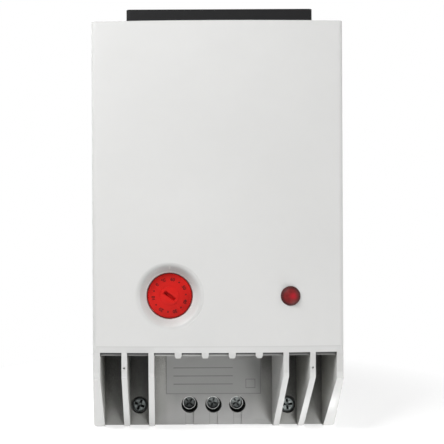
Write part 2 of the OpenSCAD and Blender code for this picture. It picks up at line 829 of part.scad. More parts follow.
// Spring clip with a fixed hook above and a sprung latch with a release tab below
module rail_clip() {
    top = din_rail_w / 2 + 0.15;
    out = clip_t + din_rail_gap;
    color("silver") difference() {
        translate([-clip_w / 2, back_y, clip_z]) rotate([90, 0, 90]) linear_extrude(height = clip_w) polygon([
            [0, top + clip_t],
            [out + clip_t, top + clip_t],
            [out + clip_t, top - 3.6],
            [out, top - 3.2],
            [out, top],
            [clip_t, top],
            [clip_t, -top],
            [out, -top],
            [out, -top + 1.6],
            [out + clip_t, -top + 0.4],
            [out + clip_t, -top - 3],
            [clip_stand, -top - 9],
            [clip_stand - clip_t, -top - 9],
            [out, -top - clip_t],
            [0, -top - clip_t]
        ]);
        for (side = [-1, 1]) {
            rod(1.7, 0, clip_z + side * clip_screw_pitch / 2, housing_d - 1, housing_d + clip_t + 1);
            cone(1.7, 3.1, 0, clip_z + side * clip_screw_pitch / 2, housing_d + 0.1, housing_d + clip_t + 0.01);
        }
    }
}

module clip_screws() {
    color("silver")
        for (side = [-1, 1]) difference() {
            union() {
                rod(1.5, 0, clip_z + side * clip_screw_pitch / 2, housing_d - 7, housing_d + 1);
                cone(
                    1.5, 2.9, 0, clip_z + side * clip_screw_pitch / 2,
                    housing_d + 0.1, housing_d + clip_t
                );
            }
            block(-1.8, 1.8, housing_d + clip_t - 0.8, housing_d + clip_t + 1,
                clip_z + side * clip_screw_pitch / 2 - 0.4, clip_z + side * clip_screw_pitch / 2 + 0.4);
        }
}

module lead_live() {
    color("saddlebrown") lead([
        [dial_x + tab_x, lead_mid + 3, block_top],
        [dial_x + tab_x, lead_mid + 3, control_z + 4],
        [dial_x + tab_x, thermostat_back + tab_l, control_z + 4]
    ]);
}

module lead_switched() {
    color("black") lead([
        [dial_x - tab_x, thermostat_back + tab_l, control_z - 4],
        [dial_x - tab_x, lead_front, control_z - 4],
        [dial_x - tab_x, lead_front, stack_mid_z],
        [fan_right - 4, lead_front, stack_mid_z],
        [fan_right - 4, cutout_front - 3, stack_mid_z]
    ]);
}

module lead_heater() {
    color("black") lead([
        [fan_right + 4, cutout_front - 3, stack_mid_z],
        [fan_right + 4, lead_front, stack_mid_z],
        [stack_right + cap_t / 2, lead_front, stack_mid_z],
        [stack_right + cap_t / 2, stack_front - 2, stack_mid_z]
    ]);
}

module lead_neutral() {
    color("royalblue") lead([
        [terminal_pitch, lead_mid, block_top],
        [terminal_pitch, lead_mid, control_z + 14],
        [stack_left - cap_t / 2, lead_mid, control_z + 14],
        [stack_left - cap_t / 2, lead_rise, control_z + 14],
        [stack_left - cap_t / 2, lead_rise, stack_mid_z - 10],
        [stack_left - cap_t / 2, stack_front - 2, stack_mid_z - 10]
    ]);
}

module lead_fan() {
    color("black") lead([
        [0.4 * terminal_pitch, lead_mid + 5, block_top],
        [0.4 * terminal_pitch, lead_mid + 5, rib_top + 4],
        [fan_lead_x, lead_mid + 5, rib_top + 4],
        [fan_lead_x, fan_lead, rib_top + 4],
        [fan_lead_x, fan_lead, deck_z + 12],
        [fan_lead_x, fan_front, deck_z + 12]
    ]);
}

module lead_lamp() {
    color("black") lead([
        [lamp_right - 2, lamp_pad + lamp_body_l, control_z],
        [lamp_right - 2, lamp_lead, control_z],
        [lamp_right - 2, lamp_lead, block_top + 7],
        [1.4 * terminal_pitch, lamp_lead, block_top + 7],
        [1.4 * terminal_pitch, lamp_lead, block_top]
    ]);
}

front_cover();
rear_shell();
fan_frame();
fan_motor();
fan_impeller();
fan_screws();
heater_end_left();
heater_end_right();
fin_pack_front();
fin_pack_middle();
fin_pack_rear();
ptc_strip_front();
ptc_strip_rear();
heater_screws();
thermal_cutout();
thermostat_body();
thermostat_dial();
lamp_lens();
lamp_body();
terminal_block();
terminal_clamps();
terminal_screws();
cover_screws();
rating_label();
rail_clip();
clip_screws();
lead_live();
lead_switched();
lead_heater();
lead_neutral();
lead_fan();
lead_lamp();
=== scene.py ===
"""Looks of the enclosure heater: materials, dial marks, edge rounding, stage, light and camera.

Blender's lengths are in metres, in the same frame as the solids: X to the right, Y to the back, Z up.
Places on the part are written in millimetres and turned into metres where they are used.
"""

import json
import math

import bmesh
import bpy
from mathutils import Matrix, Vector


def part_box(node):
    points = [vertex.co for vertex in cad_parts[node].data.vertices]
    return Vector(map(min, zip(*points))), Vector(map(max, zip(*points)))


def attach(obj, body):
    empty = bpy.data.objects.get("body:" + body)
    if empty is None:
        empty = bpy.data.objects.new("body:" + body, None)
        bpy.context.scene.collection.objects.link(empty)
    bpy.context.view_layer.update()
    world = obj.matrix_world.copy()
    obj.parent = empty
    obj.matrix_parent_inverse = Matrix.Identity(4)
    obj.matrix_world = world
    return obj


MM = 0.001

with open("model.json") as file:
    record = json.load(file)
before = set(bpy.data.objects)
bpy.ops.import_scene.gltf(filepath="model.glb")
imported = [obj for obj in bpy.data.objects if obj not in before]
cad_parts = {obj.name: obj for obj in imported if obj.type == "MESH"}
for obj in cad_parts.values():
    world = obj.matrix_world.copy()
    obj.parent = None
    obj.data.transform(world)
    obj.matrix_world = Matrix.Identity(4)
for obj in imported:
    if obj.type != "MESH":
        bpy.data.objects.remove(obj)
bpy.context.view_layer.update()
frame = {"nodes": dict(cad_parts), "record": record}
nodes = frame["nodes"]
scene = bpy.context.scene
scene.view_settings.view_transform = "Standard"


# Places that several materials share, in millimetres

DIAL_X, DIAL_FACE_Y, DIAL_Z = -18.57, -59.333, 56.6
FRONT_Y, CROWN_R, CROWN_Y = -62.8, 646.24, 583.44
TERMINAL_PITCH, TERMINAL_Z = 10.0, 8.37
COVER_SCREW_X = 30.93
# The middle of the dial's face and the upright axis of the curved front, as points in metres
DIAL = Vector((DIAL_X, DIAL_FACE_Y, DIAL_Z)) * MM
CROWN = (0.0, CROWN_Y * MM, 0.0)


# Shader node helpers

ACROSS_Y = (1.0, 0.0, 1.0)
ACROSS_Z = (1.0, 1.0, 0.0)
CAVITY_SAMPLES = 8
# Values of one part of the true normal, where a mask starts to change and where it is done
CROWN_ENDS = (-0.9965, -0.993)
LOOKS_SIDEWAYS = (0.5, 0.8)
LOOKS_OFF_FRONT = (-0.985, -0.97)
LOOKS_AHEAD = (-0.9, -0.96)
LOOKS_HALF_AHEAD = (-0.5, -0.8)
LOOKS_DOWN = (-0.85, -0.97)


class Shader:
    """A material with a Principled shader, and short calls that add and join nodes."""

    def __init__(self, name):
        self.mat = bpy.data.materials.new(name)
        self.mat.use_nodes = True
        self.tree = self.mat.node_tree
        self.tree.nodes.clear()
        self.out = self.tree.nodes.new("ShaderNodeOutputMaterial")
        self.bsdf = self.tree.nodes.new("ShaderNodeBsdfPrincipled")
        self.link(self.bsdf.outputs["BSDF"], self.out.inputs["Surface"])
        self.place = self.add("ShaderNodeTexCoord").outputs["Object"]

    def add(self, kind, **values):
        node = self.tree.nodes.new(kind)
        for key, value in values.items():
            setattr(node, key, value)
        return node

    def link(self, a, b):
        self.tree.links.new(a, b)

    def set(self, **values):
        for key, value in values.items():
            self.bsdf.inputs[key.replace("_", " ")].default_value = value

    def noise(self, scale, detail=2.0, rough=0.5, place=None):
        node = self.add("ShaderNodeTexNoise")
        node.inputs["Scale"].default_value = scale
        node.inputs["Detail"].default_value = detail
        node.inputs["Roughness"].default_value = rough
        self.link(place or self.place, node.inputs["Vector"])
        return node.outputs["Fac"]

    def ramp(self, fac, stops):
        node = self.add("ShaderNodeValToRGB")
        while len(node.color_ramp.elements) < len(stops):
            node.color_ramp.elements.new(0.5)
        for element, (pos, colour) in zip(node.color_ramp.elements, stops):
            element.position = pos
            element.color = (*colour, 1.0)
        self.link(fac, node.inputs["Fac"])
        return node.outputs["Color"]

    def span(self, fac, low, high, start=0.0, end=1.0):
        """low to high as the input goes from start to end."""
        node = self.add("ShaderNodeMapRange")
        limits = {"From Min": start, "From Max": end, "To Min": low, "To Max": high}
        for key, value in limits.items():
            node.inputs[key].default_value = value
        self.link(fac, node.inputs["Value"])
        return node.outputs["Result"]

    def slope(self, length, low, high, start, end):
        """low to high as a length goes from start to end, which are in millimetres."""
        return self.span(length, low, high, start * MM, end * MM)

    def within(self, length, low, high, soft):
        """1 between two limits in millimetres, with soft ends."""
        low, high, soft = low * MM, high * MM, soft * MM
        rise = self.span(length, 0.0, 1.0, low - soft, low + soft)
        fall = self.span(length, 1.0, 0.0, high - soft, high + soft)
        return self.times(rise, fall)

    def math(self, operation, a, b=0.0):
        node = self.add("ShaderNodeMath", operation=operation)
        for socket, value in zip(node.inputs, (a, b)):
            if isinstance(value, (int, float)):
                socket.default_value = value
            else:
                self.link(value, socket)
        return node.outputs["Value"]

    def times(self, product, *others):
        for other in others:
            product = self.math("MULTIPLY", product, other)
        return product

    def mix(self, fac, a, b, blend="MIX"):
        node = self.add("ShaderNodeMix", data_type="RGBA", blend_type=blend)
        for name, value in (("Factor", fac), ("A", a), ("B", b)):
            kind = "VALUE" if name == "Factor" else "RGBA"
            socket = next(s for s in node.inputs if s.name == name and s.type == kind)
            if isinstance(value, (int, float)):
                socket.default_value = value
            elif isinstance(value, tuple):
                socket.default_value = (*value, 1.0)
            else:
                self.link(value, socket)
        return next(s for s in node.outputs if s.type == "RGBA")

    def scaled(self, colour, factor):
        """Colour times a colour, or times a value that varies over the surface."""
        return self.mix(1.0, colour, factor, "MULTIPLY")

    def lift(self, colour, mask, factor):
        """Colour times one factor where the mask is 1."""
        return self.mix(mask, colour, self.scaled(colour, grey(factor)))

    def bump(self, height, distance, strength=1.0, normal=None):
        node = self.add("ShaderNodeBump")
        node.inputs["Strength"].default_value = strength
        node.inputs["Distance"].default_value = distance
        self.link(height, node.inputs["Height"])
        if normal is not None:
            self.link(normal, node.inputs["Normal"])
        return node.outputs["Normal"]

    def split(self, vector):
        """The three parts of a vector, by the names of their axes."""
        node = self.add("ShaderNodeSeparateXYZ")
        self.link(vector, node.inputs[0])
        return node.outputs

    def geometry(self, name):
        return self.add("ShaderNodeNewGeometry").outputs[name]

    def arm(self, centre, keep, place=None):
        """Vector from a centre to the shaded point, with some of its parts dropped."""
        whole = self.add("ShaderNodeVectorMath", operation="SUBTRACT")
        whole.inputs[1].default_value = centre
        self.link(place or self.place, whole.inputs[0])
        kept = self.add("ShaderNodeVectorMath", operation="MULTIPLY")
        kept.inputs[1].default_value = keep
        self.link(whole.outputs["Vector"], kept.inputs[0])
        return kept.outputs["Vector"]

    def distance(self, centre, keep=ACROSS_Y):
        """Distance from an axis through a point: front to back, or upright with ACROSS_Z."""
        node = self.add("ShaderNodeVectorMath", operation="LENGTH")
        self.link(self.arm(centre, keep), node.inputs[0])
        return node.outputs["Value"]

    def crowned_normal(self, centre):
        """Normal of the shaded point, or of the true cylinder where the face looks forward."""
        ahead = self.span(self.split(self.geometry("True Normal"))["Y"], 1.0, 0.0, *CROWN_ENDS)
        unit = self.add("ShaderNodeVectorMath", operation="NORMALIZE")
        self.link(self.arm(centre, ACROSS_Z, self.geometry("Position")), unit.inputs[0])
        node = self.add("ShaderNodeMix", data_type="VECTOR")
        self.link(ahead, node.inputs[0])
        self.link(self.geometry("Normal"), node.inputs[4])
        self.link(unit.outputs["Vector"], node.inputs[5])
        return node.outputs[1]

    def facing(self, axis, start, end):
        """0 to 1 as one part of the true normal goes from start to end."""
        return self.span(self.split(self.geometry("True Normal"))[axis], 0.0, 1.0, start, end)

    def sideways(self):
        """1 where the surface looks left or right, 0 where it looks another way."""
        part = self.split(self.geometry("True Normal"))["X"]
        return self.span(self.math("ABSOLUTE", part), 0.0, 1.0, *LOOKS_SIDEWAYS)

    def part(self, axis):
        """One coordinate of the shaded point."""
        return self.split(self.place)[axis]

    def length(self, across, upright):
        """Length of a line from its two parts."""
        total = self.math("ADD", self.times(across, across), self.times(upright, upright))
        return self.math("SQRT", total)

    def terminal_radius(self):
        """Distance from the axis of the nearest terminal."""
        x = self.part("X")
        nearest = self.math("SNAP", self.math("ADD", x, TERMINAL_PITCH / 2 * MM), TERMINAL_PITCH * MM)
        upright = self.math("SUBTRACT", self.part("Z"), TERMINAL_Z * MM)
        return self.length(self.math("SUBTRACT", x, nearest), upright)

    def cavity(self, distance):
        """Low in corners and deep gaps of the same piece, 1 in the open."""
        node = self.add("ShaderNodeAmbientOcclusion", samples=CAVITY_SAMPLES, only_local=True)
        node.inputs["Distance"].default_value = distance
        self.link(self.geometry("True Normal"), node.inputs["Normal"])
        return node.outputs["AO"]

    def colour(self, socket):
        self.link(socket, self.bsdf.inputs["Base Color"])

    def normal(self, socket):
        self.link(socket, self.bsdf.inputs["Normal"])

    def rough(self, socket):
        self.link(socket, self.bsdf.inputs["Roughness"])


def white_rays(tree):
    """1 for the rays that show the background itself: camera, mirror and glass rays."""
    path = tree.nodes.new("ShaderNodeLightPath")
    total = path.outputs["Is Camera Ray"]
    for name in ("Is Glossy Ray", "Is Transmission Ray"):
        node = tree.nodes.new("ShaderNodeMath")
        node.operation = "MAXIMUM"
        tree.links.new(total, node.inputs[0])
        tree.links.new(path.outputs[name], node.inputs[1])
        total = node.outputs["Value"]
    return total


def grey(value):
    return (value, value, value)


def shade(colour, factor):
    return tuple(min(1.0, c * factor) for c in colour)


# Kinds of material

# Waves per metre of the noise in moulded plastic, and how deep the slow wave goes
CLOUD_SCALE, FLOW_SCALE, POLISH_SCALE, WAVE_SCALE = 22.0, 90.0, 340.0, 55.0
WAVE_DEPTH, WAVE_STRENGTH, GRAIN_STRENGTH = 0.00012, 0.12, 0.5
# Pointiness where an edge starts to look rubbed and where it is fully so, and how far that goes
RUBBED_FROM, RUBBED_TO, RUBBED_SHARE = 0.52, 0.6, 0.6
# Blue of the darkest painted shade against its red and green
SHADE_BLUE = 0.9
# Waves per metre of the stains on metal, their tone, and the tones of the painted shade in its slots
STAIN_SCALE, STAIN_TONE = 180.0, 0.86
SLOT_SHADE_TONES = [(0.62, grey(0.03)), (0.93, grey(1.0))]
STREAK_STRENGTH = 0.4


def shade_tone(value):
    """Tone of painted shade, which turns slightly yellow as it gets darker."""
    return (value, value, value * (SHADE_BLUE + (1.0 - SHADE_BLUE) * value))


def moulded(
    name, colour, rough=(0.42, 0.52), grain=0.00002, grain_scale=2600.0, variation=0.02,
    edge=1.03, cavity_shade=None, crown=None, gloss=0.4, extra=None,
):
    """Spark-eroded moulded plastic: cloudy tone, fine grain, painted shade in corners and rubbed edges."""
    s = Shader(name)
    cloud = s.noise(CLOUD_SCALE, 3.0)
    base = s.ramp(cloud, [(0.3, shade(colour, 1 - variation)), (0.7, shade(colour, 1 + variation))])
    flow = s.noise(FLOW_SCALE, 2.0, 0.6)
    base = s.mix(s.span(flow, 0.0, 0.35, 0.4, 0.75), base, shade(colour, 1 - 1.5 * variation))
    rubbed = s.span(s.geometry("Pointiness"), 0.0, RUBBED_SHARE, RUBBED_FROM, RUBBED_TO)
    if crown:
        rubbed = s.times(rubbed, s.facing("Y", *LOOKS_OFF_FRONT))
    base = s.mix(rubbed, base, shade(colour, edge))
    # Painted shade: darker in corners and deep gaps of the same piece, with its own tones for walls and
    # flanks
    if cavity_shade:
        reach, *tones = cavity_shade
        open_air = s.cavity(reach)
        walls, flanks = (s.ramp(open_air, [(at, shade_tone(v)) for at, v in stops]) for stops in tones)
        base = s.scaled(base, s.mix(s.sideways(), walls, flanks))
    if extra:
        base = extra(s, base)
    s.colour(base)
    s.rough(s.span(s.noise(POLISH_SCALE, 3.0), rough[0], rough[1], 0.3, 0.7))
    fine = s.noise(grain_scale, 2.0, 0.6)
    wave = s.noise(WAVE_SCALE, 1.0)
    under = s.crowned_normal(crown) if crown else None
    s.normal(s.bump(fine, grain, GRAIN_STRENGTH, s.bump(wave, WAVE_DEPTH, WAVE_STRENGTH, under)))
    s.set(Specular_IOR_Level=gloss)
    return s.mat


def metal(
    name, colour, rough=(0.22, 0.4), streak=(900.0, 60.0, 900.0), depth=0.00001, slot_shade_reach=None, extra=None,
):
    """Plated or rolled metal with fine streaks, faint stains and, where asked, painted shade in its slots.
    """
    s = Shader(name)
    mapping = s.add("ShaderNodeMapping")
    mapping.inputs["Scale"].default_value = streak
    s.link(s.place, mapping.inputs["Vector"])
    lines = s.noise(1.0, 4.0, 0.7, mapping.outputs["Vector"])
    stain = s.noise(STAIN_SCALE, 3.0)
    base = s.ramp(stain, [(0.3, shade(colour, STAIN_TONE)), (0.65, colour)])
    # Painted shade in the slots, from how closed in each point is
    if slot_shade_reach:
        base = s.scaled(base, s.ramp(s.cavity(slot_shade_reach), SLOT_SHADE_TONES))
    if extra:
        base = extra(s, base)
    s.colour(base)
    s.rough(s.span(lines, rough[0], rough[1], 0.3, 0.7))
    s.normal(s.bump(lines, depth, STREAK_STRENGTH))
    s.set(Metallic=1.0)
    return s.mat


# Print and painted shade on the label

BLACK = grey(0.0)
INK = grey(0.03)
# Ink strength, then left, right, lower and upper limit and line width in millimetres
LABEL_FRAME = (0.3, -19.7, 19.7, 13.0, 40.0, 0.4)
LABEL_BOX = (0.6, 13.6, 17.4, 15.4, 19.0, 0.2)
LABEL_RULES = [(0.6, -16.6, 8.0, z, z + 0.02, 0.24) for z in (17.0, 20.4, 23.8)]
# Painted shade: tone of the label's upper part, and the heights between which it fades to the lower part
LABEL_TOP_SHADE = 0.88
LABEL_SHADE_FADE = (0.0, 1.0, 33.0, 13.0)


def label_print_and_shade(s, base):
    """Empty rating plate: a printed frame, three ruled lines and one empty box, with painted shade on its
    upper part.
    """
    x, z = s.part("X"), s.part("Z")

    def beyond(value, low, high):
        """How far a coordinate lies beyond the nearer of two limits, negative between them."""
        off = s.math("ABSOLUTE", s.math("SUBTRACT", value, (low + high) / 2))
        return s.math("SUBTRACT", off, (high - low) / 2)

    def outline(x0, x1, z0, z1, width):
        edge = s.math("ABSOLUTE", s.math("MAXIMUM", beyond(x, x0, x1), beyond(z, z0, z1)))
        return s.span(edge, 1.0, 0.0, 0.4 * width, 0.6 * width)

    for ink, *mark in [LABEL_FRAME, LABEL_BOX, *LABEL_RULES]:
        line = outline(*(value * MM for value in mark))
        base = s.mix(s.times(line, ink), base, INK)
    # Painted shade, darker towards the top of the label
    down = s.slope(z, *LABEL_SHADE_FADE)
    return s.scaled(base, s.ramp(down, [(0.0, grey(LABEL_TOP_SHADE)), (1.0, grey(1.0))]))


# Shade on the dial

SLOT_SHADE = [(0.5, (0.93, 0.5, 0.5)), (0.95, grey(1.0))]
SLOT_REACH = 0.002
RIM_RED = (0.16, 0.004, 0.004)
DIAL_RIM = (0.0, 0.5, 8.2, 8.5)


def dial_shadow(s, base):
    """Dark slot and a dark line along the rim of the dial."""
    base = s.scaled(base, s.ramp(s.cavity(SLOT_REACH), SLOT_SHADE))
    return s.mix(s.slope(s.distance(DIAL), *DIAL_RIM), base, RIM_RED)


# Painted light and shade on the housing. A place is a lower limit, an upper limit and a soft edge in
# millimetres.
# A fade is a first and a last strength, and the two places in millimetres between which it changes.

LIGHT_GREY = (0.60, 0.60, 0.592)
# Painted shade under the lip, on its inner step, in the crease and on the band above it
LIP_UNDERSIDE_Z = (30.0, 40.0, 1.0)
LIP_STEP_R = (643.6, 645.3, 0.1)
LIP_STEP_X = (-47.3, 47.3, 0.1)
STEP_Z = (34.25, 35.1, 0.08)
WHOLE_STEP_Z = (33.5, 35.1, 0.08)
CREASE_Z = (37.25, 37.6, 0.12)
BAND_Z = (34.9, 37.4, 0.1)
LIP_LEFT_FADE = (1.0, 0.0, -26.0, -24.0)
LIP_RIGHT_FADE = (0.0, 1.0, 4.0, 28.0)
WALL_Y = (-33.3, -32.8, 0.05)
BELOW_LABEL_X = (-18.5, 18.7, 3.0)
LEFT_OF_LABEL_X = (-24.5, -19.5, 0.8)
RIGHT_OF_LABEL_X = (20.0, 27.5, 0.8)
WALL_TOP_FADE = (1.0, 0.0, 36.0, 37.0)
# Painted shade below and right of the label and at the left foot, and painted light left of the label
BELOW_LABEL_FADE = (0.0, 0.35, 1.2, 12.5)
RIGHT_OF_LABEL_FADE = (0.0, 0.36, 17.0, 26.0)
LEFT_FOOT_FADE = (0.12, 0.0, 6.0, 12.0)
LEFT_LIGHT_FADE = (0.0, 1.0, 11.0, 33.0)
LEFT_BRIGHTENING = 1.4
GAP_FRONT_FADE = (0.0, 1.0, -54.0, -46.0)
GAP_BACK_FADE = (1.0, 0.0, -32.8, -32.6)
# Place across, height and painted-light brightening of the two gaps on the right
RIGHT_GAPS = [((28.0, 37.0, 0.8), (-9.0, 30.0, 3.0), 1.22), ((38.0, 48.0, 0.8), (10.0, 34.0, 3.0), 1.4)]
# Painted light on the foot of the right outer rib, and painted shade on the upright rib fronts
RIB_FOOT_X_FADE = (0.0, 1.0, 42.0, 44.0)
RIB_FOOT_Z_FADE = (1.0, 0.0, 6.0, 26.0)
RIB_FOOT_BRIGHTENING = 1.3
RIB_FRONT_Z = (27.3, 34.8, 0.4)
RIB_FRONT_FADE = (1.0, 0.0, -57.0, -56.0)
RIB_SHADE_FADE = (0.05, 0.1, -35.0, 20.0)
PIN_X = (35.6, 36.55, 0.05)
PIN_Z = (28.6, 29.6, 0.05)
# Painted shade inside the three terminal holes
BORE_Y = (-32.8, -30.4, 0.1)
BORES_X = (-15.0, 15.0, 0.5)
BORE_FADE = (1.0, 0.0, 3.5, 3.6)
BORE_SHADE_TONE = 0.02
DISH_TURN = math.radians(10)
DISH_MIDDLE = DIAL + Vector((-0.45, 0.0, 0.1)) * MM
DISH_FRONT_FADE = (1.0, 0.0, -56.0, -55.0)
DISH_INNER_FADE = (0.6, 1.0, 9.2, 9.8)
DISH_OUTER_FADE = (1.0, 0.0, 11.2, 13.0)
# Strength of the painted shade in the lower half of the dish and at its top
DISH_SHADE_STRENGTH = (0.1, 0.48)
GAP_RED = (0.38, 0.02, 0.02)
DIAL_GAP_FADE = (0.85, 0.0, 8.85, 9.0)


def lip_shade(s, base, x, z, front):
    """Painted shade under the lower lip of the front, on its inner step and in the crease and band above
    it.
    """
    under = s.times(s.facing("Z", *LOOKS_DOWN), s.within(z, *LIP_UNDERSIDE_Z))
    outer = s.math("MAXIMUM", s.slope(x, *LIP_LEFT_FADE), s.slope(x, *LIP_RIGHT_FADE))
    step = s.times(s.within(s.distance(CROWN, ACROSS_Z), *LIP_STEP_R), s.within(x, *LIP_STEP_X))
    layers = [
        # where, how strong and how dark
        (under, 0.8, 0.12),
        (s.times(under, outer), 0.7, 0.05),
        (s.times(step, s.within(z, *STEP_Z)), 0.85, 0.1),
        (s.times(step, s.within(z, *WHOLE_STEP_Z)), s.span(outer, 0.15, 0.7), 0.08),
        (s.times(front, s.within(z, *CREASE_Z)), 0.3, 0.6),
        (s.times(front, s.within(z, *BAND_Z)), s.span(outer, 0.04, 0.14), 0.5),
    ]
    for mask, strength, tone in layers:
        base = s.mix(s.times(mask, strength), base, shade(LIGHT_GREY, tone))
    return base


def wall_light_and_shade(s, base, x, y, z):
    """Painted shade on the recess wall, with painted light left of the label and in two gaps on the right.
    """
    wall = s.times(s.within(y, *WALL_Y), s.slope(z, *WALL_TOP_FADE))
    middle, left, right = (
        s.times(wall, s.within(x, *place)) for place in (BELOW_LABEL_X, LEFT_OF_LABEL_X, RIGHT_OF_LABEL_X)
    )
    base = s.mix(s.times(middle, s.slope(z, *BELOW_LABEL_FADE)), base, BLACK)
    base = s.lift(base, s.times(left, s.slope(z, *LEFT_LIGHT_FADE)), LEFT_BRIGHTENING)
    base = s.mix(s.times(right, s.slope(z, *RIGHT_OF_LABEL_FADE)), base, BLACK)
    base = s.mix(s.times(left, s.slope(z, *LEFT_FOOT_FADE)), base, BLACK)
    inside = s.times(s.slope(y, *GAP_FRONT_FADE), s.slope(y, *GAP_BACK_FADE))
    for gap_x, gap_z, factor in RIGHT_GAPS:
        base = s.lift(base, s.times(inside, s.within(x, *gap_x), s.within(z, *gap_z)), factor)
    return base


def rib_light_and_shade(s, base, x, y, z, front):
    """Painted light on the right outer rib's foot, painted shade on upright rib fronts, two plain pin
    marks.
    """
    foot = s.times(s.facing("Y", *LOOKS_HALF_AHEAD), s.slope(x, *RIB_FOOT_X_FADE))
    base = s.lift(base, s.times(foot, s.slope(z, *RIB_FOOT_Z_FADE)), RIB_FOOT_BRIGHTENING)
    upright = s.times(front, s.within(z, *RIB_FRONT_Z), s.slope(y, *RIB_FRONT_FADE))
    base = s.mix(s.times(upright, s.slope(x, *RIB_SHADE_FADE)), base, BLACK)
    pin = s.times(s.within(s.math("ABSOLUTE", x), *PIN_X), s.within(z, *PIN_Z))
    return s.mix(pin, base, LIGHT_GREY)


def bore_shade(s, base, x, y):
    """Painted shade on the insides of the three terminal holes."""
    bore = s.times(s.within(y, *BORE_Y), s.slope(s.terminal_radius(), *BORE_FADE))
    return s.mix(s.times(bore, s.within(x, *BORES_X)), base, shade(LIGHT_GREY, BORE_SHADE_TONE))


def dish_shade(s, base, x, y, z):
    """Painted shade in the dish, most in its upper half, and red in the gap round the dial."""
    out = s.distance(DIAL)
    ahead = s.slope(y, *DISH_FRONT_FADE)
    ring = s.times(s.slope(s.distance(DISH_MIDDLE), *DISH_OUTER_FADE), s.slope(out, *DISH_INNER_FADE))
    rise = s.times(s.math("SUBTRACT", z, DIAL.z), math.cos(DISH_TURN))
    lean = s.times(s.math("SUBTRACT", x, DIAL.x), math.sin(DISH_TURN))
    upper = s.math("MAXIMUM", s.math("DIVIDE", s.math("SUBTRACT", rise, lean), out), 0.0)
    base = s.mix(s.times(ring, ahead, s.span(upper, *DISH_SHADE_STRENGTH)), base, BLACK)
    return s.mix(s.times(s.slope(out, *DIAL_GAP_FADE), ahead), base, GAP_RED)


def housing_light_and_shade(s, base):
    """All the painted light and shade on the two housing mouldings."""
    x, y, z = (s.part(axis) for axis in "XYZ")
    front = s.facing("Y", *LOOKS_AHEAD)
    base = lip_shade(s, base, x, z, front)
    base = wall_light_and_shade(s, base, x, y, z)
    base = rib_light_and_shade(s, base, x, y, z, front)
    base = bore_shade(s, base, x, y)
    return dish_shade(s, base, x, y, z)


# Painted shade and light, wear and plating of the terminals and screws, with places and fades as above

# Dark tone of the painted shade on the terminal block and on the screws
PAINTED_SHADE_GREY = grey(0.012)
PLATED = (0.95, 0.955, 0.94)
# Depths of the painted shade on the front of the terminal block
COLLAR_SHADE_Y = (-29.5, -25.0, 0.08)
COLLAR_RIM_Y = (-29.9, -29.55, 0.05)
WORN_SCALE = 1300.0
WORN_TONES = [(0.4, grey(0.25)), (0.62, grey(1.0))]
WORN_SHARE = 0.8
SCREW_TINT = (1.5, 1.6, 1.57)
# Painted shade on screws at the front, fading out within these distances of the cover screws' axes
SCREW_RIM_FADE = (0.0, 0.9, 2.1, 2.7)
SCREW_FRONT_FADE = (1.0, 0.0, -29.0, -28.0)
# Painted light on the screws other than the terminal heads, lighter to the right
COVER_SCREW_LIGHT = (0.57, 1.4, -31.0, 31.0)
TERMINALS_X_FADE = (1.0, 0.0, 13.0, 14.0)
TERMINALS_Z_FADE = (1.0, 0.0, 12.0, 13.0)
HEAD_GREY, HEAD_GREY_SHARE = (0.16, 0.165, 0.165), 0.1
# Painted light on the terminal heads, lighter to the right and towards the top
HEAD_X_LIGHT = (0.7, 1.8, -TERMINAL_PITCH, TERMINAL_PITCH)
HEAD_Z_LIGHT = (0.75, 1.7, 7.0, 9.8)


def collar_rims(s, base):
    """Painted shade on the front of the terminal block, with plated rims on the three collars."""
    y = s.part("Y")
    base = s.mix(s.within(y, *COLLAR_SHADE_Y), base, PAINTED_SHADE_GREY)
    plated = s.within(y, *COLLAR_RIM_Y)
    s.link(plated, s.bsdf.inputs["Metallic"])
    return s.mix(plated, base, PLATED)


def screw_wear_and_shade(s, base):
    """Worn plating, painted shade at the front save the cover screw middles, and painted light by place.
    """
    x, z = s.part("X"), s.part("Z")
    off = s.math("ABSOLUTE", x)
    across = s.math("SUBTRACT", off, COVER_SCREW_X * MM)
    upright = s.math("SUBTRACT", z, TERMINAL_Z * MM)
    rim = s.slope(s.length(across, upright), *SCREW_RIM_FADE)
    ahead = s.slope(s.part("Y"), *SCREW_FRONT_FADE)
    base = s.mix(s.times(rim, ahead), base, PAINTED_SHADE_GREY)
    worn = s.ramp(s.noise(WORN_SCALE, 2.0, 0.7), WORN_TONES)
    base = s.mix(WORN_SHARE, base, worn, "MULTIPLY")
    base = s.scaled(base, SCREW_TINT)
    head = s.mix(HEAD_GREY_SHARE, base, HEAD_GREY)
    head = s.scaled(head, s.slope(x, *HEAD_X_LIGHT))
    head = s.scaled(head, s.slope(z, *HEAD_Z_LIGHT))
    base = s.scaled(base, s.slope(x, *COVER_SCREW_LIGHT))
    terminal = s.times(s.slope(off, *TERMINALS_X_FADE), s.slope(z, *TERMINALS_Z_FADE))
    return s.mix(terminal, base, head)


# Materials of the solids

# How far the painted shade in corners feels for walls, and its tones from deep corners to the open
CAVITY_SHADE_REACH = 0.03
CAVITY_SHADE_WALLS = [(0.1, 0.035), (0.28, 0.1), (0.55, 0.62), (0.9, 1.0)]
CAVITY_SHADE_FLANKS = [(0.1, 0.4), (0.28, 0.7), (0.5, 0.92), (0.9, 1.0)]

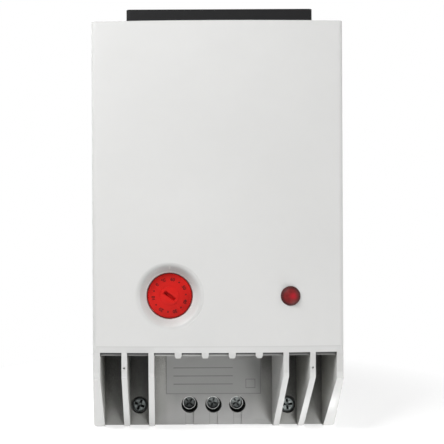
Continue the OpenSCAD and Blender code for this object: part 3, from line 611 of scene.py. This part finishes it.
materials = {
    "housing_plastic": moulded(
        "housing_plastic", LIGHT_GREY, cavity_shade=(CAVITY_SHADE_REACH, CAVITY_SHADE_WALLS, CAVITY_SHADE_FLANKS),
        crown=CROWN, extra=housing_light_and_shade,
    ),
    "fan_plastic": moulded(
        "fan_plastic", (0.010, 0.010, 0.0105), rough=(0.5, 0.62), grain=0.00003, grain_scale=1800.0,
        variation=0.08, edge=1.5, gloss=0.12,
    ),
    "device_plastic": moulded(
        "device_plastic", (0.8, 0.8, 0.78), rough=(0.5, 0.6), extra=collar_rims,
    ),
    "cap_plastic": moulded("cap_plastic", (0.66, 0.58, 0.44), rough=(0.55, 0.65)),
    "dial_red": moulded(
        "dial_red", (0.56, 0.011, 0.008), rough=(0.4, 0.48), grain=0.00001, grain_scale=3000.0,
        variation=0.05, edge=1.12, gloss=0.2, extra=dial_shadow,
    ),
    "label_film": moulded(
        "label_film", (0.365, 0.368, 0.36), rough=(0.35, 0.45), grain=0.000004, grain_scale=4000.0,
        variation=0.012, edge=1.0, gloss=0.3, extra=label_print_and_shade,
    ),
    "strip_ceramic": moulded("strip_ceramic", (0.55, 0.48, 0.38), rough=(0.6, 0.7)),
    "screw_steel": metal(
        "screw_steel", (0.17, 0.177, 0.177), rough=(0.24, 0.4), slot_shade_reach=0.0012, extra=screw_wear_and_shade,
    ),
    "fin_aluminium": metal("fin_aluminium", (0.80, 0.81, 0.82), rough=(0.3, 0.45)),
    "clip_steel": metal("clip_steel", (0.62, 0.63, 0.64), rough=(0.26, 0.4)),
    "clamp_brass": metal("clamp_brass", (0.70, 0.52, 0.22), rough=(0.25, 0.4)),
    "motor_winding": metal("motor_winding", (0.50, 0.24, 0.10), rough=(0.3, 0.45)),
    "lead_brown": moulded("lead_brown", (0.12, 0.045, 0.02), rough=(0.4, 0.5)),
    "lead_black": moulded("lead_black", (0.02, 0.02, 0.022), rough=(0.4, 0.5)),
    "lead_blue": moulded("lead_blue", (0.02, 0.06, 0.30), rough=(0.4, 0.5)),
}

LENS_RIDGES, LENS_RIDGE_DEPTH, LENS_RIDGE_STRENGTH = 28.0, 0.00008, 0.6
LENS_CLOUD_SCALE = 900.0
LENS_ROUGH = (0.4, 0.52)
LENS_GLOSS = 0.1
LENS_RIM_FADE = (0.0, 1.0, 2.5, 3.1)
# Distances over which the painted highlight on the lens fades out
LENS_HIGHLIGHT_FADE = (1.0, 0.0, 0.5, 1.7)
LENS_TONES = [(0.3, (0.132, 0.014, 0.014)), (0.7, (0.2, 0.019, 0.02))]
# Colour of the painted highlight, and how far right of the lens middle it sits
LENS_HIGHLIGHT = (0.36, 0.015, 0.024)
LENS_HIGHLIGHT_OFF = Vector((0.75, 0.0, 0.05)) * MM
LENS_RIM_LOW, LENS_RIM_HIGH = (0.045, 0.009, 0.009), (0.085, 0.02, 0.02)


def lamp_material():
    """Red lens: ridged dark rim, plain middle and a painted highlight a little right of the middle."""
    s = Shader("lamp_red")
    low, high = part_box("lamp_lens")
    middle = (low + high) / 2
    from_middle = s.split(s.arm(middle, ACROSS_Y))
    turn = s.math("ARCTAN2", from_middle["Z"], from_middle["X"])
    ridge = s.span(s.math("SINE", s.times(turn, LENS_RIDGES)), 0.0, 1.0, -1.0, 1.0)
    rim = s.slope(s.distance(middle), *LENS_RIM_FADE)
    highlight = s.slope(s.distance(middle + LENS_HIGHLIGHT_OFF), *LENS_HIGHLIGHT_FADE)
    cloudy = s.noise(LENS_CLOUD_SCALE, 2.0)
    disc = s.mix(highlight, s.ramp(cloudy, LENS_TONES), LENS_HIGHLIGHT)
    s.colour(s.mix(rim, disc, s.mix(ridge, LENS_RIM_LOW, LENS_RIM_HIGH)))
    s.rough(s.span(cloudy, *LENS_ROUGH))
    s.normal(s.bump(s.times(ridge, rim), LENS_RIDGE_DEPTH, LENS_RIDGE_STRENGTH))
    s.set(Specular_IOR_Level=LENS_GLOSS)
    return s.mat


materials["lamp_red"] = lamp_material()

slot_of = {row["node"]: row["material_slot"] for row in frame["record"]["subparts"]}
for name, obj in nodes.items():
    obj.data.materials.clear()
    obj.data.materials.append(materials[slot_of[name]])


# Edge rounding of the solids, as a radius in millimetres

ROUND = {
    "front_cover": 0.45,
    "rear_shell": 0.5,
    "thermostat_dial": 0.3,
    "terminal_screws": 0.2,
    "cover_screws": 0.2,
    "terminal_block": 0.15,
    "rail_clip": 0.15,
}
LARGE_FLATS = ("rear_shell", "front_cover")
WELD_DISTANCE = 0.00001
BEVEL_ANGLE = math.radians(28)

for name, radius in ROUND.items():
    obj = nodes[name]
    obj.modifiers.new("weld", "WELD").merge_threshold = WELD_DISTANCE
    bevel = obj.modifiers.new("edges", "BEVEL")
    bevel.width = radius * MM
    bevel.segments = 3
    bevel.limit_method = "ANGLE"
    bevel.angle_limit = BEVEL_ANGLE
    bevel.use_clamp_overlap = True
    bevel.harden_normals = True
    for polygon in obj.data.polygons:
        polygon.use_smooth = True
for name in LARGE_FLATS:
    nodes[name].modifiers.new("flat_sides", "WEIGHTED_NORMAL").keep_sharp = True


# Printed scale of the dial and the index mark above it

SCALE_R = 6.28 * MM
# Degrees to the first mark and from mark to mark
SCALE_START, SCALE_STEP = 10.8, 25.07
# Value of the first mark, fall from mark to mark, and how many there are
SCALE_TOP, SCALE_FALL, MARKS = 60, 5, 13
# Place of the unit, counted in marks
UNIT_PLACE = 13.05
PRINT_H = 0.06 * MM
NUMERAL_SIZE, UNIT_SIZE, DOT_R = 1.75 * MM, 1.6 * MM, 0.34 * MM
MERGE_DISTANCE = 0.000001


def printed(name, text, size):
    """Mesh of some characters, flat in the X-Y plane and raised along Z."""
    font = bpy.data.curves.new(name, "FONT")
    font.body = text
    font.size = size
    font.align_x = "CENTER"
    font.align_y = "CENTER"
    font.resolution_u = 3
    font.extrude = PRINT_H
    font.offset = 0.02 * size
    holder = bpy.data.objects.new(name, font)
    mesh = bpy.data.meshes.new_from_object(holder)
    bpy.data.objects.remove(holder)
    bpy.data.curves.remove(font)
    return mesh


def dot_mesh(name, radius):
    """Small flat-topped dot in the same plane as the characters."""
    mesh = bpy.data.meshes.new(name)
    bm = bmesh.new()
    bmesh.ops.create_cone(
        bm, segments=20, radius1=radius, radius2=0.8 * radius, depth=2 * PRINT_H, cap_ends=True
    )
    bm.to_mesh(mesh)
    bm.free()
    return mesh


def dial_scale():
    """Numerals from 60 down to 0 with a dot between each two, and the unit, as one mesh on the dial."""
    whole = bmesh.new()
    marks = []
    for step in range(MARKS):
        if step % 2:
            marks.append((step, dot_mesh("dot", DOT_R)))
        else:
            marks.append((step, printed("numeral", str(SCALE_TOP - SCALE_FALL * step), NUMERAL_SIZE)))
    marks.append((UNIT_PLACE, printed("unit", "\u00b0C", UNIT_SIZE)))
    for step, mesh in marks:
        turn = math.radians(SCALE_START + SCALE_STEP * step)
        turned = Matrix.Translation(DIAL) @ Matrix.Rotation(turn, 4, "Y")
        place = turned @ Matrix.Translation((0, 0, SCALE_R))
        mesh.transform(place @ Matrix.Rotation(math.radians(90), 4, "X"))
        whole.from_mesh(mesh)
        bpy.data.meshes.remove(mesh)
    bmesh.ops.remove_doubles(whole, verts=whole.verts, dist=MERGE_DISTANCE)
    result = bpy.data.meshes.new("dial_scale")
    whole.to_mesh(result)
    whole.free()
    return result


scale = bpy.data.objects.new("dial_scale", dial_scale())
scene.collection.objects.link(scale)
scale.data.materials.append(moulded(
    "dial_print", (0.06, 0.005, 0.005), rough=(0.5, 0.6), grain=0.000004, grain_scale=4000.0,
    variation=0.1, edge=1.1, gloss=0.2,
))
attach(scale, "dial")

# Distance from the dial's axis and depth of the dish there, from the inner end of the tick to the outer
TICK_PROFILE = [(10.25, 1.655), (10.68, 1.143), (11.05, 0.793), (11.37, 0.49), (11.6, 0.346)]
TICK_HALF, TICK_PROUD, TICK_SUNK = 0.32, 0.12, 0.12
TICK_END_WIDTH, TICK_END_RISE = 0.7, 0.45
# Share of a rise that goes forward, and down, on the slanted wall
TICK_SLANT = 0.7


def index_tick():
    """Raised tick on the upper wall of the dish."""
    dish_face = FRONT_Y + DIAL_X * DIAL_X / (2 * CROWN_R)
    bm = bmesh.new()
    rows = []
    for number, (radius, depth) in enumerate(TICK_PROFILE):
        at_end = number in (0, len(TICK_PROFILE) - 1)
        half = TICK_HALF * TICK_END_WIDTH if at_end else TICK_HALF
        lift = TICK_END_RISE * TICK_PROUD if at_end else TICK_PROUD
        section = [(-1.0, -TICK_SUNK), (-1.0, 0.5 * lift), (-0.6, lift)]
        section += [(-side, rise) for side, rise in reversed(section)]
        row = []
        for side, rise in section:
            shift = TICK_SLANT * rise
            place = (DIAL_X + side * half, dish_face + depth - shift, DIAL_Z + radius - shift)
            row.append(bm.verts.new(Vector(place) * MM))
        rows.append(row)
    for a, b in zip(rows, rows[1:]):
        for i in range(len(a)):
            j = (i + 1) % len(a)
            bm.faces.new((a[i], a[j], b[j], b[i]))
    bm.faces.new(rows[0])
    bm.faces.new(reversed(rows[-1]))
    bmesh.ops.recalc_face_normals(bm, faces=bm.faces)
    mesh = bpy.data.meshes.new("dial_index")
    bm.to_mesh(mesh)
    bm.free()
    return mesh


tick = bpy.data.objects.new("dial_index", index_tick())
scene.collection.objects.link(tick)
tick.data.materials.append(moulded(
    "index_paint", (0.37, 0.367, 0.36), rough=(0.5, 0.6), grain=0.000006, grain_scale=3000.0,
    variation=0.03, edge=1.03,
))
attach(tick, "housing")


# Stage, light and camera

FLOOR_HALF = 6.0
FLOOR_GREY = 0.6
FLOOR_LIFT = 0.7
# Distances from the middle of the floor between which it turns plain white
FLOOR_NEAR, FLOOR_FAR = 0.07, 0.15
AMBIENT = 0.02

corners = [(i * FLOOR_HALF, j * FLOOR_HALF, 0) for i, j in ((-1, -1), (1, -1), (1, 1), (-1, 1))]
floor_mesh = bpy.data.meshes.new("floor")
floor_mesh.from_pydata(corners, [], [(0, 1, 2, 3)])
floor = bpy.data.objects.new("floor", floor_mesh)
scene.collection.objects.link(floor)
# Two of the lamps stand below the floor, as under a light table
floor.visible_shadow = False


def floor_material():
    """White floor. Near the object it shows the shadow; far off the camera sees plain white."""
    s = Shader("floor_white")
    s.tree.nodes.remove(s.bsdf)
    diffuse = s.add("ShaderNodeBsdfDiffuse")
    diffuse.inputs["Color"].default_value = (*grey(FLOOR_GREY), 1)
    lift = s.add("ShaderNodeEmission")
    path = white_rays(s.tree)
    s.link(s.times(path, FLOOR_LIFT), lift.inputs["Strength"])
    near = s.add("ShaderNodeAddShader")
    s.link(diffuse.outputs["BSDF"], near.inputs[0])
    s.link(lift.outputs["Emission"], near.inputs[1])
    white = s.add("ShaderNodeEmission")
    length = s.add("ShaderNodeVectorMath", operation="LENGTH")
    s.link(s.place, length.inputs[0])
    far = s.span(length.outputs["Value"], 0.0, 1.0, FLOOR_NEAR, FLOOR_FAR)
    both = s.add("ShaderNodeMixShader")
    s.link(s.times(path, far), both.inputs["Fac"])
    s.link(near.outputs["Shader"], both.inputs[1])
    s.link(white.outputs["Emission"], both.inputs[2])
    s.link(both.outputs["Shader"], s.out.inputs["Surface"])
    return s.mat


floor_mesh.materials.append(floor_material())


def studio():
    """World that is white where it is seen and faint where it lights the object."""
    world = bpy.data.worlds.new("studio")
    world.use_nodes = True
    tree = world.node_tree
    tree.nodes.clear()
    both = tree.nodes.new("ShaderNodeMixShader")
    tree.links.new(white_rays(tree), both.inputs["Fac"])
    for socket, strength in ((both.inputs[1], AMBIENT), (both.inputs[2], 1.0)):
        background = tree.nodes.new("ShaderNodeBackground")
        background.inputs["Color"].default_value = (1.0, 1.0, 1.0, 1.0)
        background.inputs["Strength"].default_value = strength
        tree.links.new(background.outputs["Background"], socket)
    out = tree.nodes.new("ShaderNodeOutputWorld")
    tree.links.new(both.outputs["Shader"], out.inputs["Surface"])
    return world


scene.world = studio()


def softbox(name, place, target, size, power):
    """Rectangular lamp that looks from its place to a target, with its power in watts."""
    lamp = bpy.data.lights.new(name, "AREA")
    lamp.shape = "RECTANGLE"
    lamp.size, lamp.size_y = size
    lamp.energy = power
    obj = bpy.data.objects.new(name, lamp)
    obj.location = place
    obj.rotation_euler = (Vector(target) - Vector(place)).to_track_quat("-Z", "Y").to_euler()
    scene.collection.objects.link(obj)


softbox("key", (-0.3, -0.35, 0.5), (-0.03, -0.06, 0.15), (0.25, 0.25), 3.95)
softbox("left", (-1.1, -0.5, 0.65), (0, 0, 0.09), (0.5, 0.9), 2.3)
softbox("right", (1.1, -0.5, 0.5), (0, 0, 0.09), (0.5, 0.9), 6.2)
softbox("under_right", (0.35, -0.32, -0.55), (0, -0.04, 0.02), (0.3, 0.3), 3.8)
softbox("under_left", (-0.35, -0.32, -0.55), (0, -0.04, 0.02), (0.3, 0.3), 0.3)

# Size, focal length, middle and shift of the picture in its own pixels
IMAGE_PX = 444.0
FOCAL_PX = 758.4
PRINCIPAL_X_PX = 157.6
SHIFT_Y_PX = 0.45
# Sensor width and the place of the camera in millimetres
SENSOR = 36.0
CAMERA = (-23.07, -351.0, 84.8)
ROLL = math.radians(0.27)

camera_data = bpy.data.cameras.new("camera")
camera_data.sensor_width = SENSOR
camera_data.lens = FOCAL_PX * SENSOR / IMAGE_PX
camera_data.shift_x = (IMAGE_PX / 2 - PRINCIPAL_X_PX) / IMAGE_PX
camera_data.shift_y = SHIFT_Y_PX / IMAGE_PX
camera_data.clip_start = 0.01
camera = bpy.data.objects.new("camera", camera_data)
camera.location = [value * MM for value in CAMERA]
camera.rotation_euler = (math.radians(90), ROLL, 0)
scene.collection.objects.link(camera)
scene.camera = camera

bpy.context.view_layer.update()
